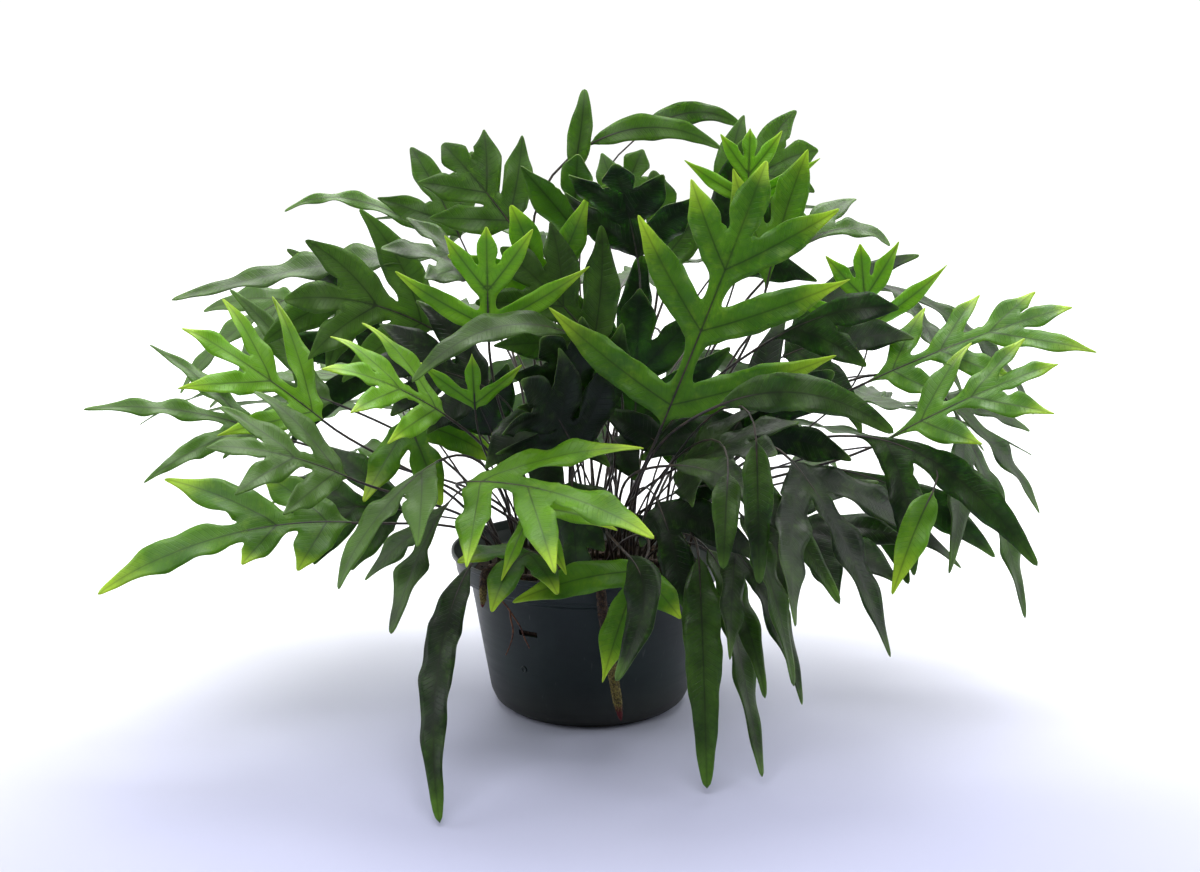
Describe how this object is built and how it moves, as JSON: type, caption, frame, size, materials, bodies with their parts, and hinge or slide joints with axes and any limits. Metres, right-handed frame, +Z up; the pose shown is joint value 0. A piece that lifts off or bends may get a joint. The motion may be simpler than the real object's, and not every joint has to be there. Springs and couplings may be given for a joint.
{
  "type": "kangaroo paw fern in a nursery pot",
  "caption": "Evergreen kangaroo paw fern: waved, strap-lobed fronds on wiry stalks from a creeping rhizome, growing in a round dark plastic nursery pot.",
  "frame": {"origin": "centre of the underside of the pot's flat base", "axes": "+Z up along the pot's axis; -Y toward the plant's front, where the broadest bright frond faces out; +X to the right seen from the front"},
  "size_m": [0.8563, 0.7032, 0.5561],
  "materials": {
    "pot_plastic": "satin, slightly dusty",
    "peat": "matt, crumbly",
    "rhizome": "matt, scaly",
    "root": "matt",
    "mature_frond": "satin, leathery",
    "young_frond": "satin, soft"
  },
  "bodies": {
    "root": {"arch_centre": "mature_frond", "arch_far_right": "mature_frond", "arch_low_right": "mature_frond", "arch_right_back": "mature_frond", "back_crest_left": "mature_frond", "back_crest_right": "mature_frond", "back_hanging": "mature_frond", "back_low": "mature_frond", "back_low_left": "mature_frond", "back_low_right": "mature_frond", "back_mid": "mature_frond", "back_mid_left": "mature_frond", "back_mid_right": "mature_frond", "bright_fan_right": "young_frond", "bright_wing_right": "young_frond", "broad_dark_right": "mature_frond", "crest_arch": "mature_frond", "crest_left_paw": "mature_frond", "crest_right_paw": "mature_frond", "curled_front": "mature_frond", "curled_right": "mature_frond", "dark_arch_right": "mature_frond", "dark_upright": "mature_frond", "drooping_left": "mature_frond", "fork_left_mid": "mature_frond", "grey_low_right": "mature_frond", "hanging_root": "root", "hero_frond": "young_frond", "inner_deep": "mature_frond", "inner_left_back": "mature_frond", "inner_right_paw": "mature_frond", "light_strap_left": "mature_frond", "lime_paw_side": "young_frond", "long_dark_right": "mature_frond", "low_paw_front": "young_frond", "paw_centre": "mature_frond", "paw_front_left": "young_frond", "paw_left_low": "mature_frond", "paw_left_mid": "mature_frond", "paw_lime_left": "young_frond", "paw_lime_low_left": "young_frond", "pot": "pot_plastic", "rhizome": "rhizome", "side_left_back": "mature_frond", "side_low_left": "mature_frond", "side_low_right": "mature_frond", "side_right_back": "mature_frond", "slender_left": "mature_frond", "soil": "peat", "strap_centre": "mature_frond", "strap_far_left": "mature_frond", "strap_front_left": "mature_frond", "strap_glossy_right": "mature_frond", "strap_hanging_front": "mature_frond", "strap_hanging_left": "mature_frond", "strap_left_back": "mature_frond", "strap_left_long": "mature_frond", "strap_mid_right": "mature_frond", "upright_bright_top": "young_frond", "wing_left": "young_frond"}
  },
  "joints": []
}
